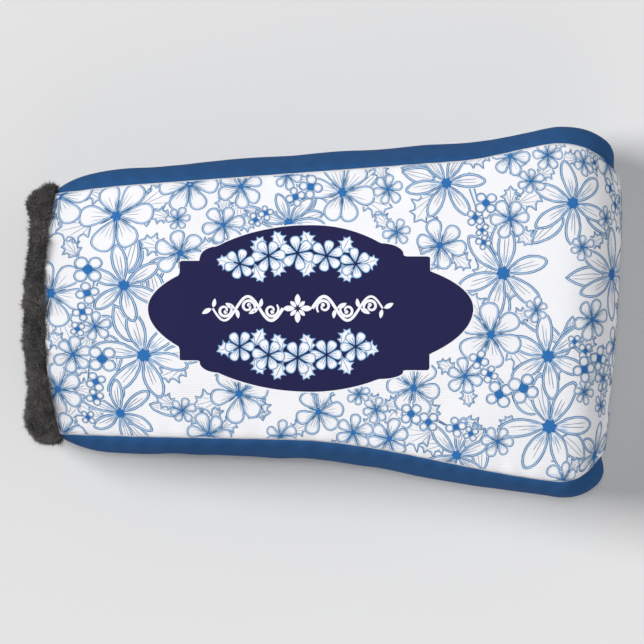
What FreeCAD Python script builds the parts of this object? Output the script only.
"""Putter head cover, lying on its back with the decorated front face up.

The cover is a padded fabric sock. A front panel and a back panel meet in a seam across the nose, and
a leaf-shaped gusset closes each long side. Every wall is three layers: outer cloth, foam padding and
fleece lining. A rolled fleece cuff with a flat elastic inside it trims the mouth. Rows of lockstitches
run along every seam, between the cloth and the padding.

Millimetres. +X runs from the mouth to the nose, +Y towards the upper gusset, +Z out of the front face.
The origin is at the centre of the bounding box's bottom face, on the surface the cover rests on.
"""

import FreeCAD, Part
import functools
import math
import os

V = FreeCAD.Vector

# Places along the cover.
MOUTH_X = -76.0              # where the walls end and the cuff begins, at the two sides
MOUTH_BOW = 4.5              # how much further the walls reach in the middle of each face
MOUTH_BOW_HALF = 36.0        # the bow is measured from the edge at this distance from the centre
MOUTH_BOW_POWER = 2.6
MOUTH_BOW_FADE = -20.0       # the bow fades out of the walls by this X
NOSE_START_X = 66.0          # where the straight run ends and the nose rounds over
NOSE_REACH = {1: 17.8, -1: 13.8}   # how far the nose goes beyond that, at the upper and lower seam
NOSE_POWER = 2.6             # superellipse power of the nose in side view
NOSE_TUCK = 7.9              # how far the seams draw in at the nose tip
NOSE_CROWN = 2.0             # how far the nose stands out between the seams

# Half widths of the front face at its two seams: value at the mouth, taper per mm, swell of the head.
HALF_WIDTH = {
    1: {"mouth": 35.8, "taper": 0.0724, "swell": 3.1, "swell_from": 38.0, "swell_to": 68.0},
    -1: {"mouth": 35.6, "taper": 0.020, "swell": 11.0, "swell_from": -10.0, "swell_to": 78.0},
}

# Heights above the resting surface.
MID_HEIGHT_MOUTH = 19.0      # middle of the gusset
MID_HEIGHT_HEAD = 25.0
GUSSET_HALF_MOUTH = 9.5      # half of the gusset's height between its seams
GUSSET_HALF_NECK = 15.0
GUSSET_HALF_HEAD = 18.5
FRONT_HEIGHT_MOUTH = 38.0    # crest of the front panel
FRONT_HEIGHT_HEAD = 53.0
BACK_SINK = 0.3              # the resting surface presses the back cloth flat by this much
BACK_LIFT_MOUTH = 3.6        # the mouth lifts off the surface, and leaves room for the cuff
GUSSET_BULGE = 4.1           # how far a gusset stands out beyond its seams
GUSSET_BULGE_RISE = 4.0      # the length over which it springs up behind the mouth
GUSSET_BULGE_POWER = 2.4
FRONT_CROWN_POWER = 2.2      # low power: one even crown from seam to seam
BACK_CROWN_POWER = 5.0       # high power: flat in the middle, turned up at the seams

# Depth of each layer's two faces below the outside.
CLOTH = (0.0, 0.8)
STITCH_DEPTH = 1.15          # in the gap between cloth and padding
PADDING = (1.5, 4.3)
LINING = (4.4, 7.0)
SEAM_GAP = 0.05              # each piece stops this far short of its seam

# Cuff and elastic.
CUFF_LENGTH = 9.8            # at the two sides
CUFF_END_BOW = 1.2           # bow of its open end
CUFF_DEPTH = (-1.8, 8.6)
CUFF_FACE_GAP = 0.05
CUFF_END_RADIUS = 3.6
CUFF_WALL_RADIUS = 1.8
ELASTIC_DEPTH = (2.4, 3.6)
ELASTIC_WIDTH = 4.0
ELASTIC_CLEARANCE = 0.1

# Stitches.
STITCH_PITCH = 3.0
STITCH_LENGTH = 2.2
STITCH_RADIUS = 0.16
CUFF_STITCH_INSET = 2.5      # the row that holds the cuff runs this far inside the mouth
LONG_SEAM_STITCHED = (0.045, 0.885)   # stations where the rows along the gussets start and stop

# A station is a number from 0 at the mouth to 1 at the nose tip; the straight run ends at RUN_SHARE.
RUN_SHARE = 0.7
GUSSET_END = RUN_SHARE + (1 - RUN_SHARE) * 62.0 / 90.0
RUN_ROWS = 18
ROW_GRADING = 1.5            # rows crowd together towards the mouth, where the shape changes fastest
NOSE_ROWS = 10
GUSSET_NOSE_ROWS = 7
ACROSS = 14
GUSSET_ACROSS = 10
BULGE_FADE_STATION = 0.84
STEP = 1e-4                  # step of the numerical slopes

FRONT, BACK = 1, -1
UPPER, LOWER = 1, -1


def smooth(start, end, value):
    """0 up to start, 1 from end on, and an even curve between them."""
    share = max(0.0, min(1.0, (value - start) / (end - start)))
    return share * share * (3 - 2 * share)


def mix(a, b, share):
    return a + (b - a) * share


def half_width(side, x):
    """Distance of a seam from the centre line along the straight run."""
    w = HALF_WIDTH[side]
    straight = w["mouth"] + w["taper"] * (x - MOUTH_X)
    return straight + w["swell"] * smooth(w["swell_from"], w["swell_to"], x)


def mid_height(x):
    return mix(MID_HEIGHT_MOUTH, MID_HEIGHT_HEAD, smooth(MOUTH_X, 50, x))


def gusset_half(x):
    neck = (GUSSET_HALF_NECK - GUSSET_HALF_MOUTH) * smooth(MOUTH_X, -40, x)
    head = (GUSSET_HALF_HEAD - GUSSET_HALF_NECK) * smooth(-40, 60, x)
    return GUSSET_HALF_MOUTH + neck + head


def crest_height(face, x):
    """Height of the middle of the front or back panel."""
    if face == FRONT:
        return mix(FRONT_HEIGHT_MOUTH, FRONT_HEIGHT_HEAD, smooth(MOUTH_X - 10, 58, x))
    return BACK_LIFT_MOUTH * (1 - smooth(MOUTH_X, -48, x)) - BACK_SINK


def bow(y):
    """Share of the mouth's bow at a distance from the centre line."""
    return 1 - (abs(y) / MOUTH_BOW_HALF) ** MOUTH_BOW_POWER


def bowed(point):
    """Carries a point with the bow of the mouth edge, which fades towards the head."""
    fade = 1 - smooth(MOUTH_X, MOUTH_BOW_FADE, point.x)
    return V(point.x - MOUTH_BOW * bow(point.y) * fade, point.y, point.z)


def run_x(station):
    return mix(MOUTH_X, NOSE_START_X, min(station, RUN_SHARE) / RUN_SHARE)


def nose_angle(station):
    """0 at the end of the straight run, a quarter turn at the nose tip."""
    return math.pi / 2 * max(0.0, station - RUN_SHARE) / (1 - RUN_SHARE)


def seam(side, face, station):
    """Point on the outside of a seam."""
    x = run_x(station)
    turn = nose_angle(station)
    power = 2 / NOSE_POWER
    forward = math.sin(turn) ** power if turn > 0 else 0.0
    upright = max(0.0, math.cos(turn)) ** power
    y = half_width(side, x) - NOSE_TUCK * math.sin(turn) ** 2
    return V(
        x + NOSE_REACH[side] * forward,
        side * y,
        mid_height(x) + face * gusset_half(x) * upright,
    )


def along_only_at_nose(vector, station):
    """Drops a direction's X part on the straight run, so that every layer ends at the mouth plane."""
    share = smooth(0.55, RUN_SHARE, station)
    return V(vector.x * share, vector.y, vector.z)


@functools.lru_cache(maxsize=None)
def profile_normal(face, station):
    """Outward direction of a panel's middle line, in the XZ plane."""

    def middle(s):
        return (seam(UPPER, face, s) + seam(LOWER, face, s)) * 0.5

    if station > 1 - 2 * STEP:
        return V(1, 0, 0)
    slope = middle(station + STEP) - middle(max(0.0, station - STEP))
    out = along_only_at_nose(V(-slope.z, 0, slope.x) * face, station)
    return out.normalize()


def crown(face, station):
    """How far a panel stands out between its seams."""
    x = run_x(station)
    on_run = face * (crest_height(face, x) - mid_height(x)) - gusset_half(x)
    return mix(on_run, NOSE_CROWN, math.sin(nose_angle(station)) ** 2)


def crown_shape(face, station, across):
    power = BACK_CROWN_POWER if face == BACK else FRONT_CROWN_POWER
    power = mix(power, FRONT_CROWN_POWER, math.sin(nose_angle(station)) ** 2)
    return 1 - abs(2 * across - 1) ** power


def bulge(station):
    """How far a gusset stands out at a station: nothing at the mouth and at its nose end."""
    rise = 1 - math.exp(-(run_x(station) - MOUTH_X) / GUSSET_BULGE_RISE)
    return GUSSET_BULGE * rise * (1 - smooth(BULGE_FADE_STATION, GUSSET_END, station))


def inner_seam(side, face, station, depth):
    """Point where the seam's fold is at a depth below the outside."""
    point = seam(side, face, station)
    return point - mitre(side, face, station) * depth if depth else point


def band(face, station, across, depth):
    """Point of the front or back panel. across is 0 at the lower seam and 1 at the upper one."""
    low = inner_seam(LOWER, face, station, depth)
    high = inner_seam(UPPER, face, station, depth)
    out = profile_normal(face, station)
    stand = crown(face, station)
    if depth:
        fold = (mitre(LOWER, face, station) + mitre(UPPER, face, station)) * 0.5
        stand -= depth * (1 - fold.dot(out))
    return mix(low, high, across) + out * (stand * crown_shape(face, station, across))


def gusset(side, station, down, depth):
    """Point of a gusset. down is 0 at the front seam and 1 at the back seam."""

    def chord(s):
        return mix(inner_seam(side, FRONT, s, depth), inner_seam(side, BACK, s, depth), down)

    face = FRONT if down <= 0.5 else BACK
    toward_tip = 1 - abs(2 * down - 1)
    end = inner_seam(side, face, mix(GUSSET_END, 1, toward_tip), depth)
    follow = smooth(0.5, GUSSET_END, station)
    stand = bulge(station)
    if depth:
        fold = (mitre(side, FRONT, station) + mitre(side, BACK, station)) * 0.5
        stand -= min(stand, depth * (1 - side * fold.y))
    out = V(0, side * stand * (1 - abs(2 * down - 1) ** GUSSET_BULGE_POWER), 0)
    return chord(station) + (end - chord(GUSSET_END)) * follow + out


def normal(surface, u, v, outward):
    """Unit normal of a surface function, turned to the outward side."""
    u0, u1 = max(0.0, u - STEP), min(1.0, u + STEP)
    v0, v1 = max(0.0, v - STEP), min(1.0, v + STEP)
    across = (surface(u1, v) - surface(u0, v)).cross(surface(u, v1) - surface(u, v0))
    across.normalize()
    return across if across.dot(outward) > 0 else across * -1


@functools.lru_cache(maxsize=None)
def mitre(side, face, station):
    """Direction and pace of a seam's fold line, per mm of depth, from the slopes of its two pieces."""
    station = min(station, 1 - 3 * STEP)
    panel = normal(
        lambda s, t: band(face, s, t, 0.0), station, 1.0 if side == UPPER else 0.0,
        profile_normal(face, station),
    )
    if station <= GUSSET_END - 2 * STEP:
        down, s = (0.0 if face == FRONT else 1.0), station
    else:
        toward_tip = (max(station, GUSSET_END) - GUSSET_END) / (1 - GUSSET_END) / 2
        down, s = (toward_tip if face == FRONT else 1 - toward_tip), GUSSET_END - STEP
    side_piece = normal(lambda a, b: gusset(side, a, b, 0.0), s, down, V(0, side, 0))
    fold = (panel + side_piece) * (1 / (1 + panel.dot(side_piece)))
    return along_only_at_nose(fold, station)


def skin(rows):
    """Smooth face through a grid of points."""
    surface = Part.BSplineSurface()
    surface.interpolate(rows)
    return surface


def slab(outer_rows, inner_rows):
    """Closed solid between two skins, with ruled faces along the four edges."""
    outer, inner = skin(outer_rows), skin(inner_rows)
    faces = [outer.toShape(), inner.toShape()]
    u0, u1, v0, v1 = outer.bounds()
    a0, a1, b0, b1 = inner.bounds()
    for at, inner_at in ((u0, a0), (u1, a1)):
        edges = outer.uIso(at).toShape(), inner.uIso(inner_at).toShape()
        faces.append(Part.makeRuledSurface(*edges))
    for at, inner_at in ((v0, b0), (v1, b1)):
        edges = outer.vIso(at).toShape(), inner.vIso(inner_at).toShape()
        faces.append(Part.makeRuledSurface(*edges))
    shell = Part.Shell(faces)
    shell.sewShape()
    solid = Part.Solid(shell)
    if solid.Volume < 0:
        solid.reverse()
    return solid


def run_stations():
    return [RUN_SHARE * (i / RUN_ROWS) ** ROW_GRADING for i in range(RUN_ROWS)]


def panel(face, layer):
    """One layer of the front or back panel, from the mouth to the nose seam."""
    tip = 1 - SEAM_GAP / 40
    nose = [mix(RUN_SHARE, tip, i / NOSE_ROWS) for i in range(NOSE_ROWS + 1)]
    rows = []
    for depth in layer:
        grid = []
        for s in run_stations() + nose:
            edge = SEAM_GAP / (half_width(UPPER, run_x(s)) + half_width(LOWER, run_x(s)))
            spread = [mix(edge, 1 - edge, i / ACROSS) for i in range(ACROSS + 1)]
            grid.append([bowed(band(face, s, t, depth)) for t in spread])
        rows.append(grid)
    return slab(*rows)


def side_panel(side, layer):
    """One layer of a gusset, from the mouth to the nose."""
    end = GUSSET_END - SEAM_GAP / 40
    nose = [mix(RUN_SHARE, end, i / GUSSET_NOSE_ROWS) for i in range(GUSSET_NOSE_ROWS + 1)]
    rows = []
    for depth in layer:
        grid = []
        for s in run_stations() + nose:
            edge = SEAM_GAP / (2 * gusset_half(run_x(s)))
            spread = [mix(edge, 1 - edge, i / GUSSET_ACROSS) for i in range(GUSSET_ACROSS + 1)]
            grid.append([bowed(gusset(side, s, r, depth)) for r in spread])
        rows.append(grid)
    return slab(*rows)


def pressed_flat(solid):
    """Cuts off what would lie below the resting surface, which leaves a true flat face there."""
    below = Part.makeBox(400, 400, 20, V(-200, -200, -20))
    return solid.cut(below).Solids[0]


def mouth_loop(depth):
    """Closed smooth outline of the mouth at a depth below the outside, in one plane."""
    count = 14
    half = count // 2
    spread = [i / count for i in range(1, count)]
    side_spread = [0.12, 0.5, 0.88]
    points = [band(FRONT, 0.0, t, depth) for t in spread[half - 1:]]
    points += [gusset(UPPER, 0.0, r, depth) for r in side_spread]
    points += [band(BACK, 0.0, t, depth) for t in reversed(spread)]
    points += [gusset(LOWER, 0.0, r, depth) for r in reversed(side_spread)]
    points += [band(FRONT, 0.0, t, depth) for t in spread[:half - 1]]
    outline = Part.BSplineCurve()
    outline.interpolate(points, True)
    return Part.Wire([outline.toShape()])


def bow_edge(x, bow_depth):
    """Curve across the mouth, at x at the two sides and bow_depth further out in the middle."""
    reach = MOUTH_BOW_HALF + 10
    rows = 24
    spread = [mix(-reach, reach, i / rows) for i in range(rows + 1)]
    curve = Part.BSplineCurve()
    curve.interpolate([V(x - bow_depth * bow(y), y, -10) for y in spread])
    return curve.toShape()


def bowed_ring(depths, wall, end):
    """Ring round the mouth between two depths. wall and end are each an (x, bow_depth) pair."""
    blanks = []
    for depth in depths:
        face = Part.Face(mouth_loop(depth))
        face.translate(V(20, 0, 0))
        blanks.append(face.extrude(V(-60, 0, 0)))
    tube = blanks[0].cut(blanks[1])
    near, far = bow_edge(*wall), bow_edge(*end)
    outline = [near, far]
    for k in (0, -1):
        outline.append(Part.makeLine(near.Vertexes[k].Point, far.Vertexes[k].Point))
    slice_face = Part.Face(Part.Wire(Part.__sortEdges__(outline)))
    return tube.common(slice_face.extrude(V(0, 0, 80))).Solids[0]


def edges_on_bow(solid, x, bow_depth):
    """The edges of a ring that lie in one of its bowed end faces."""
    found = []
    for edge in solid.Edges:
        points = edge.discretize(7)
        if all(abs(p.x - (x - bow_depth * bow(p.y))) < 0.02 for p in points):
            found.append(edge)
    return found


def fleece_cuff():
    """Rolled fleece with a slot at the wall side for the elastic."""
    wall = MOUTH_X - CUFF_FACE_GAP, MOUTH_BOW
    end = MOUTH_X - CUFF_FACE_GAP - CUFF_LENGTH, CUFF_END_BOW
    roll = bowed_ring(CUFF_DEPTH, wall, end)
    roll = roll.makeFillet(CUFF_END_RADIUS, edges_on_bow(roll, *end))
    roll = roll.makeFillet(CUFF_WALL_RADIUS, edges_on_bow(roll, *wall))
    slot_depth = (ELASTIC_DEPTH[0] - ELASTIC_CLEARANCE, ELASTIC_DEPTH[1] + ELASTIC_CLEARANCE)
    slot_end = wall[0] - ELASTIC_WIDTH - ELASTIC_CLEARANCE, MOUTH_BOW
    slot = bowed_ring(slot_depth, (wall[0] + 1, MOUTH_BOW), slot_end)
    return roll.cut(slot).Solids[0]


def mouth_elastic():
    """Flat elastic band inside the cuff."""
    wall = MOUTH_X - 2 * CUFF_FACE_GAP, MOUTH_BOW
    return bowed_ring(ELASTIC_DEPTH, wall, (wall[0] - ELASTIC_WIDTH, MOUTH_BOW))


def stitch_row(path_point, steps=400):
    """Separate stitches, evenly spaced along a path given as a function of 0 to 1."""
    points = [bowed(path_point(i / steps)) for i in range(steps + 1)]
    lengths = [0.0]
    for a, b in zip(points, points[1:]):
        lengths.append(lengths[-1] + (b - a).Length)
    count = int(lengths[-1] / STITCH_PITCH)
    spare = (lengths[-1] - count * STITCH_PITCH) / 2

    def at(distance):
        i = next(k for k in range(1, steps + 1) if lengths[k] >= distance or k == steps)
        share = (distance - lengths[i - 1]) / (lengths[i] - lengths[i - 1])
        return mix(points[i - 1], points[i], share)

    stitches = []
    for i in range(count):
        middle = spare + (i + 0.5) * STITCH_PITCH
        a = at(middle - STITCH_LENGTH / 2)
        b = at(middle + STITCH_LENGTH / 2)
        stitches.append(Part.makeCylinder(STITCH_RADIUS, (b - a).Length, a, b - a))
    return Part.makeCompound(stitches)


def long_seam_thread(side, face):
    """Stitches along one edge of a gusset, from behind the mouth to the corner of the nose."""
    first, last = LONG_SEAM_STITCHED
    return stitch_row(lambda u: inner_seam(side, face, mix(first, last, u), STITCH_DEPTH))


def nose_seam_thread():
    return stitch_row(lambda u: band(FRONT, 0.9999, mix(0.03, 0.97, u), STITCH_DEPTH))


def cuff_stitching():
    """Stitches round the mouth that hold the cuff to the walls."""
    station = CUFF_STITCH_INSET / (NOSE_START_X - MOUTH_X) * RUN_SHARE
    rows = []
    for face in (FRONT, BACK):
        rows.append(stitch_row(lambda u: band(face, station, mix(0.02, 0.98, u), STITCH_DEPTH)))
    for side in (UPPER, LOWER):
        rows.append(stitch_row(lambda u: gusset(side, station, mix(0.06, 0.94, u), STITCH_DEPTH)))
    return Part.makeCompound([solid for row in rows for solid in row.Solids])


def build():
    parts = {}
    for layer_name, layer in (("panel", CLOTH), ("padding", PADDING), ("lining", LINING)):
        parts["front_" + layer_name] = panel(FRONT, layer)
        parts["back_" + layer_name] = panel(BACK, layer)
    for layer_name, layer in (("gusset", CLOTH), ("gusset_padding", PADDING), ("gusset_lining", LINING)):
        parts["upper_" + layer_name] = side_panel(UPPER, layer)
        parts["lower_" + layer_name] = side_panel(LOWER, layer)
    parts["back_panel"] = pressed_flat(parts["back_panel"])
    parts["fleece_cuff"] = fleece_cuff()
    parts["mouth_elastic"] = mouth_elastic()
    for side, side_name in ((UPPER, "upper"), (LOWER, "lower")):
        for face, face_name in ((FRONT, "front"), (BACK, "back")):
            name = f"{face_name}_{side_name}_seam_thread"
            parts[name] = long_seam_thread(side, face)
    parts["nose_seam_thread"] = nose_seam_thread()
    parts["cuff_stitching"] = cuff_stitching()
    return parts


def centring_shift(parts):
    """Brings the middle of the bounding box onto the Z axis. The resting face is at Z = 0 already."""
    box = FreeCAD.BoundBox()
    for shape in parts.values():
        box.add(shape.optimalBoundingBox(False))
    return V(-box.Center.x, -box.Center.y, 0)


def main():
    os.makedirs("parts", exist_ok=True)
    parts = build()
    shift = centring_shift(parts)
    print("shift to the origin", shift)
    for name, shape in parts.items():
        shape.translate(shift)
        solids = shape.Solids
        volume = sum(solid.Volume for solid in solids)
        print(name, len(solids), "solids", round(volume, 1), "mm3", "valid" if shape.isValid() else "INVALID")
        shape.exportStep(f"parts/{name}.step")


main()
